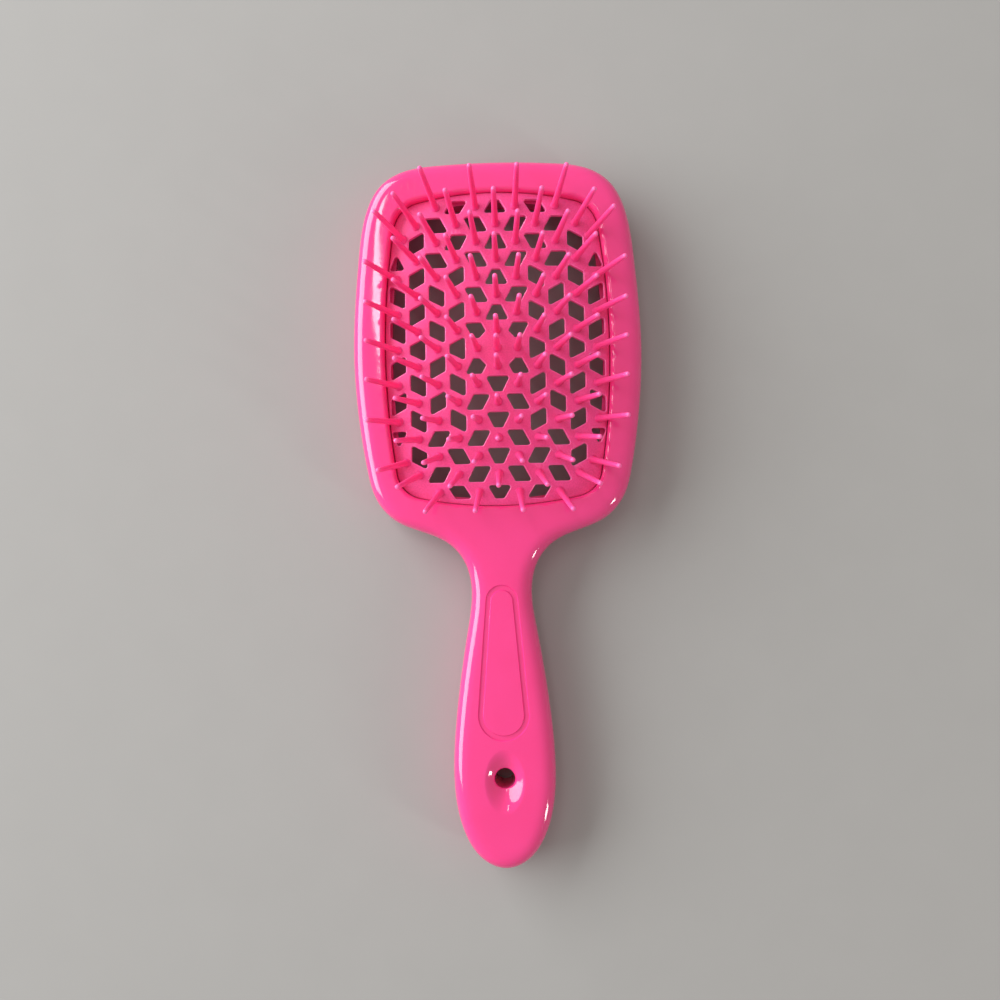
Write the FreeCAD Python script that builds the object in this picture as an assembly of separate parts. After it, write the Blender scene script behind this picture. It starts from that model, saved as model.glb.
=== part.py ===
"""Paddle hairbrush: a one-piece frame and handle, a snap-in vented pad and its pins.

Millimetres. +Z points the way the pins point, +Y runs from the handle to the head, +X runs across.
The origin is under the middle of the brush, on the surface that the flat back rests on.
"""
import FreeCAD, Part
import math
import os

from FreeCAD import Matrix, Placement, Rotation, Vector

# Overall shape of the frame and handle
HALF_LENGTH = 102.5
FACE_Z = 15.5               # flat front face
WAIST_Z = 8.0               # height of the widest line of the side wall
FACE_INSET = 6.0            # where the side wall has rolled over into the front face
BACK_INSET = 6.0            # the same at the back
WALL_FULLNESS = 0.64        # exponent of the wall's rounding: 1 is an ellipse, less is squarer
WALL_ANGLES = (-90, -78, -62, -44, -24, 0, 24, 44, 62, 78, 90)
OUTLINE_SAMPLES = 72        # places along one side where the outline is moved inwards

# Right-hand edge of the widest line, head to tail: (x, y)
OUTLINE = (
    (0.0, HALF_LENGTH), (16.0, 102.0), (29.4, 99.3), (34.1, 95.7), (38.0, 88.3), (40.5, 73.7),
    (42.1, 46.0), (40.8, 26.6), (38.6, 12.3), (36.6, 5.1), (30.9, -2.0), (22.2, -5.8),
    (14.9, -9.4), (10.9, -14.2), (8.9, -21.8), (10.1, -33.8), (12.4, -47.9), (14.1, -61.8),
    (14.8, -75.7), (13.7, -86.5), (11.7, -92.9), (7.2, -99.5), (0.0, -HALF_LENGTH),
)

# Arch under the neck, which lifts the back off the surface between head and handle
NECK_ARCH_Y = -22.0
NECK_ARCH_HALF_SPAN = 22.0
NECK_ARCH_RISE = 2.4

# Pad and the window that it fits
PAD_Y = 47.3                # middle of the pad
PAD_HALF_WIDTH = 32.5
PAD_HALF_LENGTH = 45.5
PAD_SIDE_R = 224.0          # long edges bow outwards
PAD_END_R = 110.0           # short edges bow outwards
PAD_CORNER_R = 8.5
PAD_TOP_Z = 15.2            # crown of the pad
PAD_CROWN_ACROSS_R = 200.0
PAD_CROWN_ALONG_R = 700.0
PAD_THICKNESS = 2.0
SKIRT_WIDTH = 1.0           # wall under the pad's border, which stands on the frame's ledge
LEDGE_Z = 8.0
SEAM_GAP = 0.2
RIM_INNER_R = 1.3
WINDOW_BACK_R = 1.5

# Snap tabs on the skirt and their notches in the frame
SIDE_TABS = ((-1, 18.0), (-1, -18.0), (1, 18.0), (1, -18.0))    # side, and y from the pad's middle
END_TABS = (1, -1)
TAB_LENGTH = 8.0
TAB_REACH = 0.5
TAB_HEIGHT = 1.2
TAB_BOTTOM_Z = 8.8
NOTCH_GAP = 0.25

# Lattice shared by the pins and the vent holes
COLUMN_PITCH = 5.77
ROW_PITCH = 5.19
LAST_COLUMN = 5
LAST_ROW = 8
PIN_COLUMNS = {8: 3, 7: 4}              # last column with a pin, in the rows that stop early
HOLE_COLUMNS = {8: 2, 7: 3, 6: 4}       # last column with a hole, in the rows that stop early
UPRIGHT_ROWS = {2: 4, 3: 4, 4: 6, 5: 4} # last row where a column's holes stand upright
TRIANGLE_SITE = (5, 5)
CORNER_PIN_SITE = (5, 6)

# Vent holes
HOLE_CORNER_R = 0.5
RHOMB_EDGE = 4.6            # the two parallel edges
RHOMB_WIDTH = 4.3           # distance between them
RHOMB_SHIFT = 2.4           # how far one is slid along the other
TRAPEZOID_LONG = 6.8
TRAPEZOID_SHORT = 2.3
TRAPEZOID_HEIGHT = 4.3
TRIANGLE_BASE = 4.6
TRIANGLE_HEIGHT = 4.6
TRIANGLE_TIP_X = 0.2
END_ROW_SCALE = 0.85        # the holes beside the short edges are shorter
HUB_R = 5.9                 # solid disc round the middle pin

# Pins
PIN_LENGTH = 18.8
PIN_ROOT_R = 0.95
PIN_TIP_R = 0.68
PIN_SPIGOT = 1.1            # part of the pin inside the pad
ROOT_FLARE_R = 1.4
ROOT_FLARE_HEIGHT = 0.9
ROOT_FLARE_SINK = 0.1
FAN_ACROSS = (0.0071, 0.83e-5)      # sideways slope of a pin: a*x + b*x**3
FAN_ALONG = (0.0014, 0.38e-5)       # lengthways slope of a pin: a*y + b*y**3
CORNER_SHIFT = (1.9, 1.5)           # the corner pins step inwards and outwards along the border

# Handle details
LOOP_TOP_Y = -25.6          # engraved loop: a band between two nested outlines
LOOP_TOP_R = 4.6
LOOP_BOTTOM_Y = -58.0
LOOP_BOTTOM_R = 7.3
LOOP_BAND = 1.5
LOOP_DEPTH = 0.35
HANG_HOLE_Y = -76.4
HANG_HOLE_R = 2.9
DISH_Y = -76.9
DISH_HALF_SIZE = (5.2, 8.4, 2.4)
HANG_HOLE_CHAMFER = 0.6


def wall_point(angle):
    """Inset and height of the rounded side wall, from -90 degrees at the back to 90 at the face."""
    inset, height = (FACE_INSET, FACE_Z - WAIST_Z) if angle >= 0 else (BACK_INSET, -WAIST_Z)
    turn = math.radians(abs(angle))
    reach = 0.0 if abs(angle) == 90 else math.cos(turn) ** WALL_FULLNESS
    return inset * (1 - reach), WAIST_Z + height * math.sin(turn) ** WALL_FULLNESS


def half_curve(points):
    """Smooth curve from the head to the tail, square to the middle plane at both ends."""
    across = Vector(math.copysign(1, points[1].x), 0, 0)
    curve = Part.BSplineCurve()
    curve.interpolate(Points=points, InitialTangent=across, FinalTangent=-across, Scale=False)
    return curve


def outline_curve():
    """Right-hand half of the widest line."""
    return half_curve([Vector(x, y, 0) for x, y in OUTLINE])


def section_wire(curve, inset, z):
    """The outline moved inwards by inset and lifted to z, as one closed wire."""
    right = []
    for i in range(OUTLINE_SAMPLES + 1):
        distance = curve.length() * i / OUTLINE_SAMPLES
        at = curve.parameterAtDistance(distance, curve.FirstParameter)
        tangent = curve.tangent(at)[0]
        inwards = Vector(tangent.y, -tangent.x, 0)
        point = curve.value(at) + inwards * inset
        right.append(Vector(point.x, point.y, z))
    left = [Vector(-point.x, point.y, z) for point in right]
    return Part.Wire([half_curve(right).toShape(), half_curve(left).toShape()])


def edges_at(shape, z):
    """Edges that lie wholly at height z."""
    found = []
    for edge in shape.Edges:
        box = edge.BoundBox
        if abs(box.ZMin - z) < 0.01 and abs(box.ZMax - z) < 0.01:
            found.append(edge)
    return found


def bowed_block(inset, bottom_z, top_z):
    """Upright block with the pad's bowed outline, moved inwards by inset."""
    height = top_z - bottom_z
    side_r = PAD_SIDE_R - inset
    end_r = PAD_END_R - inset
    side_offset = PAD_SIDE_R - PAD_HALF_WIDTH
    end_offset = PAD_END_R - PAD_HALF_LENGTH
    block = Part.makeCylinder(side_r, height, Vector(side_offset, PAD_Y, bottom_z))
    block = block.common(Part.makeCylinder(side_r, height, Vector(-side_offset, PAD_Y, bottom_z)))
    block = block.common(Part.makeCylinder(end_r, height, Vector(0, PAD_Y + end_offset, bottom_z)))
    block = block.common(Part.makeCylinder(end_r, height, Vector(0, PAD_Y - end_offset, bottom_z)))
    uprights = []
    for edge in block.Edges:
        box = edge.BoundBox
        if box.ZLength > height - 0.01 and box.XLength < 0.01 and abs(box.XMin) > 10:
            uprights.append(edge)
    return block.makeFillet(PAD_CORNER_R - inset, uprights)


def crown_solid(drop):
    """Everything under the pad's crowned surface, lowered by drop."""
    across_r = PAD_CROWN_ACROSS_R - drop
    along_r = PAD_CROWN_ALONG_R - drop
    top_z = PAD_TOP_Z - drop
    reach = PAD_HALF_WIDTH + 6
    half_angle = math.degrees(math.asin((PAD_HALF_LENGTH + 8) / along_r))
    edge_z = top_z - across_r + math.sqrt(across_r ** 2 - reach ** 2)
    left = Vector(-reach, PAD_Y, edge_z)
    right = Vector(reach, PAD_Y, edge_z)
    crown = Part.Arc(left, Vector(0, PAD_Y, top_z), right).toShape()
    floor_z = -10.0
    sides = Part.makePolygon([right, Vector(reach, PAD_Y, floor_z), Vector(-reach, PAD_Y, floor_z), left])
    profile = Part.Face(Part.Wire([crown] + sides.Edges))
    pivot = Vector(0, PAD_Y, top_z - along_r)
    profile.rotate(pivot, Vector(1, 0, 0), -half_angle)
    return profile.revolve(pivot, Vector(1, 0, 0), 2 * half_angle)


def crown_height(x, y):
    """Height of the pad's upper surface at x and at y from its middle."""
    ring_r = PAD_CROWN_ALONG_R - PAD_CROWN_ACROSS_R + math.sqrt(PAD_CROWN_ACROSS_R ** 2 - x ** 2)
    return PAD_TOP_Z - PAD_CROWN_ALONG_R + math.sqrt(ring_r ** 2 - y ** 2)


def tab_ring(reach, gap):
    """Six short lengths of a band that stands reach outside the pad's outline."""
    low = TAB_BOTTOM_Z - gap
    high = TAB_BOTTOM_Z + TAB_HEIGHT + gap
    band = bowed_block(-reach, low, high)
    length = TAB_LENGTH + 2 * gap
    depth = 6.0
    windows = []
    for side, along in SIDE_TABS:
        corner = Vector(side * PAD_HALF_WIDTH - depth / 2, PAD_Y + along - length / 2, low - 1)
        windows.append(Part.makeBox(depth, length, high - low + 2, corner))
    for end in END_TABS:
        corner = Vector(-length / 2, PAD_Y + end * PAD_HALF_LENGTH - depth / 2, low - 1)
        windows.append(Part.makeBox(length, depth, high - low + 2, corner))
    return band.common(Part.makeCompound(windows))


def tapered_loop(inset, bottom_z, top_z):
    """Upright block of the handle's engraved loop: the hull of two discs."""
    top_r = LOOP_TOP_R - inset
    bottom_r = LOOP_BOTTOM_R - inset
    lean = math.asin((bottom_r - top_r) / (LOOP_TOP_Y - LOOP_BOTTOM_Y))
    out = Vector(math.cos(lean), math.sin(lean), 0)
    top = Vector(0, LOOP_TOP_Y, bottom_z)
    bottom = Vector(0, LOOP_BOTTOM_Y, bottom_z)
    top_right = top + out * top_r
    bottom_right = bottom + out * bottom_r
    top_left = Vector(-top_right.x, top_right.y, bottom_z)
    bottom_left = Vector(-bottom_right.x, bottom_right.y, bottom_z)
    edges = [
        Part.Arc(top_left, top + Vector(0, top_r, 0), top_right).toShape(),
        Part.LineSegment(top_right, bottom_right).toShape(),
        Part.Arc(bottom_right, bottom - Vector(0, bottom_r, 0), bottom_left).toShape(),
        Part.LineSegment(bottom_left, top_left).toShape(),
    ]
    return Part.Face(Part.Wire(edges)).extrude(Vector(0, 0, top_z - bottom_z))


def make_handle_frame():
    """The glossy moulding: ring, neck and handle in one."""
    curve = outline_curve()
    sections = [section_wire(curve, *wall_point(angle)) for angle in WALL_ANGLES]
    body = Part.makeLoft(sections, True, False)

    arch_r = (NECK_ARCH_HALF_SPAN ** 2 + NECK_ARCH_RISE ** 2) / (2 * NECK_ARCH_RISE)
    arch_axis = Vector(-60, NECK_ARCH_Y, NECK_ARCH_RISE - arch_r)
    body = body.cut(Part.makeCylinder(arch_r, 120, arch_axis, Vector(1, 0, 0)))

    body = body.cut(bowed_block(-SEAM_GAP, LEDGE_Z, FACE_Z + 5))
    body = body.cut(bowed_block(SKIRT_WIDTH, -5, LEDGE_Z + 1))
    body = body.makeFillet(RIM_INNER_R, window_edges(body, FACE_Z))
    body = body.makeFillet(WINDOW_BACK_R, window_edges(body, 0.0))
    body = body.cut(tab_ring(TAB_REACH + NOTCH_GAP, NOTCH_GAP))

    loop = tapered_loop(0.0, FACE_Z - LOOP_DEPTH, FACE_Z + 1)
    loop = loop.cut(tapered_loop(LOOP_BAND, FACE_Z - 2, FACE_Z + 2))
    body = body.cut(loop)

    dish = Part.makeSphere(1.0)
    stretch = Matrix()
    stretch.scale(*DISH_HALF_SIZE)
    dish = dish.transformGeometry(stretch)
    dish.translate(Vector(0, DISH_Y, FACE_Z))
    body = body.cut(dish)
    body = body.cut(Part.makeCylinder(HANG_HOLE_R, FACE_Z + 10, Vector(0, HANG_HOLE_Y, -5)))
    chamfer = Part.makeCone(
        HANG_HOLE_R + HANG_HOLE_CHAMFER, HANG_HOLE_R, HANG_HOLE_CHAMFER, Vector(0, HANG_HOLE_Y, 0)
    )
    return body.cut(chamfer)


def window_edges(body, z):
    """Edges of the pad's window at height z."""
    found = []
    for edge in edges_at(body, z):
        box = edge.BoundBox
        inside_across = max(abs(box.XMin), abs(box.XMax)) < PAD_HALF_WIDTH + 1
        inside_along = box.YMin > PAD_Y - PAD_HALF_LENGTH - 1 and box.YMax < PAD_Y + PAD_HALF_LENGTH + 1
        if inside_across and inside_along:
            found.append(edge)
    return found


def is_pin_site(column, row):
    """True where the lattice has a pin; every other site is a hole or is solid."""
    if (column, row) == (0, 0):
        return True
    if (column + row) % 2 == 0:
        return False
    return abs(column) <= PIN_COLUMNS.get(abs(row), LAST_COLUMN)


def is_hole_site(column, row):
    """True where the lattice has a vent hole."""
    if (column + row) % 2 or (column, row) == (0, 0):
        return False
    return abs(column) <= HOLE_COLUMNS.get(abs(row), LAST_COLUMN)


def rhomb(leans_out, upright):
    """Corners of a parallelogram hole; upright means that its parallel edges run along Y."""
    edge = RHOMB_EDGE / 2
    half = RHOMB_WIDTH / 2
    shift = RHOMB_SHIFT / 2 if leans_out else -RHOMB_SHIFT / 2
    corners = [(-edge + shift, half), (edge + shift, half), (edge - shift, -half), (-edge - shift, -half)]
    if upright:
        return [(y, x) for x, y in corners]
    return corners


def trapezoid(upright):
    """Corners of a trapezoid hole, its long edge at -Y, or at -X when upright."""
    long = TRAPEZOID_LONG / 2
    short = TRAPEZOID_SHORT / 2
    half = TRAPEZOID_HEIGHT / 2
    corners = [(-long, -half), (long, -half), (short, half), (-short, half)]
    if upright:
        return [(y, x) for x, y in corners]
    return corners


def triangle():
    """Corners of a triangle hole, its tip at +Y."""
    half = TRIANGLE_BASE / 2
    low = -TRIANGLE_HEIGHT / 2
    return [(-half, low), (half, low), (TRIANGLE_TIP_X, -low)]


def hole_corners(column, row):
    """Corners of the hole at a site, about the site, for column >= 0 and row >= 0."""
    if column == 0:
        return trapezoid(upright=False)
    if row == 0:
        return trapezoid(upright=True)
    if (column, row) == TRIANGLE_SITE:
        return triangle()
    return rhomb(leans_out=column % 2 == 1, upright=row <= UPRIGHT_ROWS.get(column, 0))


def make_hole(column, row):
    """Upright cutter for one vent hole, with rounded corners."""
    corners = hole_corners(abs(column), abs(row))
    scale = END_ROW_SCALE if abs(row) == LAST_ROW else 1.0
    flip_x = -1 if column < 0 else 1
    flip_y = -1 if row < 0 else 1
    middle = Vector(column * COLUMN_PITCH, PAD_Y + row * ROW_PITCH, 0)
    points = [middle + Vector(flip_x * x, flip_y * y * scale, 0) for x, y in corners]
    prism = Part.Face(Part.makePolygon(points + points[:1])).extrude(Vector(0, 0, FACE_Z + 5))
    uprights = [edge for edge in prism.Edges if edge.BoundBox.ZLength > FACE_Z]
    return prism.makeFillet(HOLE_CORNER_R, uprights)


def make_pin(column, row):
    """One tapered pin with a rounded tip and a flared root, leaning as its place on the pad asks."""
    x = column * COLUMN_PITCH
    y = row * ROW_PITCH
    if (abs(column), abs(row)) == CORNER_PIN_SITE:
        x -= math.copysign(CORNER_SHIFT[0], x)
        y += math.copysign(CORNER_SHIFT[1], y)
    tip_z = PIN_LENGTH - PIN_TIP_R
    taper = (PIN_ROOT_R - PIN_TIP_R) / tip_z
    spigot_r = PIN_ROOT_R + taper * PIN_SPIGOT
    shaft = Part.makeCone(spigot_r, PIN_TIP_R, tip_z + PIN_SPIGOT, Vector(0, 0, -PIN_SPIGOT))
    tip = Part.makeSphere(PIN_TIP_R, Vector(0, 0, tip_z))
    flare_foot = Vector(0, 0, -ROOT_FLARE_SINK)
    flare = Part.makeCone(ROOT_FLARE_R, PIN_ROOT_R - taper, ROOT_FLARE_HEIGHT, flare_foot)
    pin = shaft.fuse([tip, flare]).removeSplitter()
    slope_x = FAN_ACROSS[0] * x + FAN_ACROSS[1] * x ** 3
    slope_y = FAN_ALONG[0] * y + FAN_ALONG[1] * y ** 3
    lean = Rotation(Vector(0, 0, 1), Vector(slope_x, slope_y, 1))
    pin.Placement = Placement(Vector(x, PAD_Y + y, crown_height(x, y)), lean)
    return pin


def sites(wanted):
    """All lattice sites that the test accepts."""
    columns = range(-LAST_COLUMN, LAST_COLUMN + 1)
    rows = range(-LAST_ROW, LAST_ROW + 1)
    return [(column, row) for row in rows for column in columns if wanted(column, row)]


def make_pins():
    """All the pins, each a solid of its own."""
    return Part.makeCompound([make_pin(column, row) for column, row in sites(is_pin_site)])


def make_pin_pad(pins):
    """The vented pad: a crowned plate with a skirt, snap tabs, vent holes and the pins' sockets."""
    outer = bowed_block(0.0, LEDGE_Z, FACE_Z + 5).common(crown_solid(0.0))
    inner = bowed_block(SKIRT_WIDTH, LEDGE_Z - 1, FACE_Z + 5).common(crown_solid(PAD_THICKNESS))
    pad = outer.cut(inner)
    pad = pad.fuse(tab_ring(TAB_REACH, 0.0).cut(bowed_block(0.3, 0, FACE_Z)))
    holes = Part.makeCompound([make_hole(column, row) for column, row in sites(is_hole_site)])
    hub = Part.makeCylinder(HUB_R, FACE_Z + 20, Vector(0, PAD_Y, -5))
    pad = pad.cut(holes.cut(hub))
    return pad.cut(pins)


def main():
    """Build every piece and write it as a STEP file."""
    os.makedirs("parts", exist_ok=True)
    pins = make_pins()
    nodes = {
        "handle_frame": make_handle_frame(),
        "pin_pad": make_pin_pad(pins),
        "pins": pins,
    }
    for name, shape in nodes.items():
        shape.exportStep(f"parts/{name}.step")
        print(name, shape.isValid(), len(shape.Solids), round(shape.Volume, 1), shape.BoundBox)


main()
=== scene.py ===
"""Paddle hairbrush: glossy one-piece frame and handle, satin vented pad, fanned pins.

Every length is in metres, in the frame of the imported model: +Z is the way the pins point, and +Y runs
from the handle to the head.
"""

import logging
import math
from dataclasses import dataclass
from enum import Enum
from typing import Callable, Iterable, Sequence

import bpy
import numpy as np
from mathutils import Matrix, Vector


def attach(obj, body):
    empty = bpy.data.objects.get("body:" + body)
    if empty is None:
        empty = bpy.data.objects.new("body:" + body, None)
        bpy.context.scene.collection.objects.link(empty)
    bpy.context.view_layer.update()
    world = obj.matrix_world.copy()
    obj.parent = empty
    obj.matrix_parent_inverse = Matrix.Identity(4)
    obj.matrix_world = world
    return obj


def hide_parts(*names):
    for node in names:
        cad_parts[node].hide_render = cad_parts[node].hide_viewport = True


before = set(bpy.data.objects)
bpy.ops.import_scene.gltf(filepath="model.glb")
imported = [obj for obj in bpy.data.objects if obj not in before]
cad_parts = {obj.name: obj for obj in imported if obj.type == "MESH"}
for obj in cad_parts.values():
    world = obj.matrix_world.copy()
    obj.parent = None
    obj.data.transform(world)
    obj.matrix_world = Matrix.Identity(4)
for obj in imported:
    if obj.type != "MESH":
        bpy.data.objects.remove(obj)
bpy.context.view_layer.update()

MM = 0.001
ROOT_BODY = "root"
OVERCUT = 0.01 * MM             # how far a cutter or a foot passes a surface that it would only touch

# The lattice of pins and vent holes, by absolute column and row
PIN_COLUMNS = {8: 3, 7: 4}              # last column with a pin, in the rows that stop early
HOLE_COLUMNS = {8: 2, 7: 3, 6: 4}       # last column with a hole, in the rows that stop early
UPRIGHT_ROWS = {2: 4, 3: 4, 4: 6, 5: 4}     # last row where a column's holes stand upright
TRIANGLE_SITE = (5, 5)
CORNER_PIN_ROW = 6

# The frame's side wall, from the flat back (-90 degrees) to the flat face (90)
WALL_ANGLES = (-90, -84, -77, -69, -60, -50, -38, -25, -12, 0, 12, 25, 38, 50, 60, 69, 77, 84, 90)
OUTLINE_STEPS = 230

# Edges sharper than these many degrees stay crisp
FRAME_CREASE = 32.0
PAD_CREASE = 38.0
PIN_CREASE = 60.0
log = logging.getLogger("paddle_brush")

Ring = list[Vector]


# ---------------------------------------------------------------------------------------------
# Modelling by hand: rings of points that are extruded one from the next
# ---------------------------------------------------------------------------------------------


def deselect_all() -> None:
    """Leave edit mode and select nothing."""
    if bpy.context.object and bpy.context.object.mode != "OBJECT":
        bpy.ops.object.mode_set(mode="OBJECT")
    bpy.ops.object.select_all(action="DESELECT")


def make_active(obj: bpy.types.Object) -> None:
    """Select one object alone and make it the active one.

    Args:
        obj: The object that the next operators act on.
    """
    deselect_all()
    obj.select_set(True)
    bpy.context.view_layer.objects.active = obj


class Ends(Enum):
    """How the two ends of a shell are closed."""

    FACES = "one face over each"
    STRIPS = "strips from side to side over each"
    JOINED = "one end joined to the other"


def place_key(point: Vector) -> tuple:
    """A place rounded to a tenth of a micrometre, to look it up by."""
    return tuple(round(value, 7) for value in point)


def shell_from_rings(name: str, rings: Sequence[Ring], ends: Ends = Ends.FACES) -> bpy.types.Object:
    """Extrude a shell ring by ring.

    Args:
        name: Name of the new object.
        rings: The rings in order, all with the same number of points.
        ends: How its ends are closed.

    Returns:
        A closed shell whose faces point outwards.
    """
    deselect_all()
    bpy.ops.mesh.primitive_circle_add(vertices=len(rings[0]), radius=1.0, fill_type="NOTHING")
    obj = bpy.context.object
    obj.name = name
    for vertex, point in zip(obj.data.vertices, rings[0]):
        vertex.co = point
    for last, ring in zip(rings, rings[1:]):
        bpy.ops.object.mode_set(mode="EDIT")
        bpy.ops.mesh.extrude_edges_move()
        bpy.ops.object.mode_set(mode="OBJECT")
        order = {place_key(point): i for i, point in enumerate(last)}
        for vertex in list(obj.data.vertices)[-len(ring):]:
            vertex.co = ring[order[place_key(vertex.co)]]
    close_ends(obj, rings[0], rings[-1], ends)
    return obj


def close_ends(obj: bpy.types.Object, first: Ring, last: Ring, ends: Ends) -> None:
    """Close the two ends of a shell and turn its faces outwards.

    Args:
        obj: The open shell.
        first: Its first ring.
        last: Its last ring.
        ends: How to close it.
    """
    by_place = {place_key(vertex.co): vertex.index for vertex in obj.data.vertices}
    end_rings = [[by_place[place_key(point)] for point in ring] for ring in (first, last)]
    if ends is Ends.JOINED:
        fill(obj, end_rings[0] + end_rings[1], bridge=True)
    for ring in end_rings if ends is Ends.FACES else ():
        fill(obj, ring)
    for ring in end_rings if ends is Ends.STRIPS else ():
        half = len(ring) // 2
        fill(obj, ring[1:half] + ring[half + 1:], bridge=True)
        fill(obj, [ring[-1], ring[0], ring[1]])
        fill(obj, ring[half - 1:half + 2])
    make_active(obj)
    bpy.ops.object.mode_set(mode="EDIT")
    bpy.ops.mesh.select_all(action="SELECT")
    bpy.ops.mesh.normals_make_consistent(inside=False)
    bpy.ops.object.mode_set(mode="OBJECT")


def fill(obj: bpy.types.Object, vertices: Iterable[int], bridge: bool = False) -> None:
    """Fill between vertices, with one face or with a bridge between two rows of them.

    Args:
        obj: The shell, in object mode.
        vertices: Indices of the vertices.
        bridge: True bridges two rows; False makes one face.
    """
    select_vertices(obj, vertices)
    bpy.ops.object.mode_set(mode="EDIT")
    if bridge:
        bpy.ops.mesh.bridge_edge_loops()
    else:
        bpy.ops.mesh.edge_face_add()
    bpy.ops.object.mode_set(mode="OBJECT")


def select_vertices(obj: bpy.types.Object, wanted: Iterable[int]) -> None:
    """Select just these vertices of an object in object mode, with the edges between them."""
    chosen = set(wanted)
    for polygon in obj.data.polygons:
        polygon.select = False
    for vertex in obj.data.vertices:
        vertex.select = vertex.index in chosen
    for edge in obj.data.edges:
        edge.select = all(i in chosen for i in edge.vertices)


def join(name: str, objects: Sequence[bpy.types.Object]) -> bpy.types.Object:
    """Join objects into one mesh.

    Args:
        name: Name of the joined object.
        objects: The objects, of which the first one keeps its data.

    Returns:
        The joined object.
    """
    deselect_all()
    for obj in objects:
        obj.select_set(True)
    bpy.context.view_layer.objects.active = objects[0]
    bpy.ops.object.join()
    objects[0].name = name
    return objects[0]


def cut(obj: bpy.types.Object, cutter: bpy.types.Object) -> None:
    """Subtract a closed cutter from a closed shell, and delete the cutter."""
    make_active(obj)
    modifier = obj.modifiers.new("cut", "BOOLEAN")
    modifier.operation = "DIFFERENCE"
    modifier.solver = "EXACT"
    modifier.object = cutter
    bpy.ops.object.modifier_apply(modifier=modifier.name)
    bpy.data.objects.remove(cutter)


def smooth(obj: bpy.types.Object, crease_degrees: float) -> None:
    """Shade smooth below a crease angle, with the large faces leading the normals.

    Args:
        obj: The finished piece.
        crease_degrees: Edges sharper than this stay crisp.
    """
    make_active(obj)
    bpy.ops.object.shade_smooth_by_angle(angle=math.radians(crease_degrees), keep_sharp_edges=False)
    modifier = obj.modifiers.new("weighted", "WEIGHTED_NORMAL")
    modifier.keep_sharp = True
    modifier.weight = 70
    bpy.ops.object.modifier_apply(modifier=modifier.name)


def smooth_line(stations: Sequence[tuple[float, float]], count: int) -> tuple[np.ndarray, np.ndarray]:
    """A clamped cubic spline through stations that starts and ends square to the middle plane.

    Args:
        stations: Points (x, y) from head to tail.
        count: How many equal steps to divide it into.

    Returns:
        The points and the unit normals that point inwards, each count + 1 by 2.
    """
    knots = np.array(stations)
    gaps = np.linalg.norm(np.diff(knots, axis=0), axis=1)
    size = len(knots)
    matrix = np.eye(size)
    slopes = np.zeros((size, 2))
    slopes[0], slopes[-1] = (1.0, 0.0), (-1.0, 0.0)
    rates = np.diff(knots, axis=0) / gaps[:, None]
    for i in range(1, size - 1):
        before, after = gaps[i - 1], gaps[i]
        matrix[i, i - 1:i + 2] = after, 2 * (before + after), before
        slopes[i] = 3 * (after * rates[i - 1] + before * rates[i])
    slopes = np.linalg.solve(matrix, slopes)
    steps = np.linspace(0, 1, 200, endpoint=False)[:, None]
    spans = []
    for i, gap in enumerate(gaps):
        start, end = knots[i], knots[i + 1]
        ease_in, ease_out = slopes[i] * gap, slopes[i + 1] * gap
        cubic = 2 * start - 2 * end + ease_in + ease_out
        square = -3 * start + 3 * end - 2 * ease_in - ease_out
        spans.append(((cubic * steps + square) * steps + ease_in) * steps + start)
    dense = np.vstack(spans + [knots[-1:]])
    walked = np.concatenate([[0], np.cumsum(np.linalg.norm(np.diff(dense, axis=0), axis=1))])
    wanted = np.linspace(0, walked[-1], count + 1)
    points = np.stack([np.interp(wanted, walked, dense[:, axis]) for axis in (0, 1)], axis=1)
    tangents = np.gradient(dense, walked, axis=0)
    tangents = np.stack([np.interp(wanted, walked, tangents[:, axis]) for axis in (0, 1)], axis=1)
    tangents /= np.linalg.norm(tangents, axis=1)[:, None]
    return points, np.stack([tangents[:, 1], -tangents[:, 0]], axis=1)


def quarter_arc(steps: int) -> list[tuple[float, float]]:
    """Points (forward, up) of a unit quarter circle that starts going up and ends going forward."""
    turns = [math.pi / 2 * i / steps for i in range(steps + 1)]
    return [(1 - math.cos(turn), math.sin(turn)) for turn in turns]


# ---------------------------------------------------------------------------------------------
# Shared shapes
# ---------------------------------------------------------------------------------------------


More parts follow.
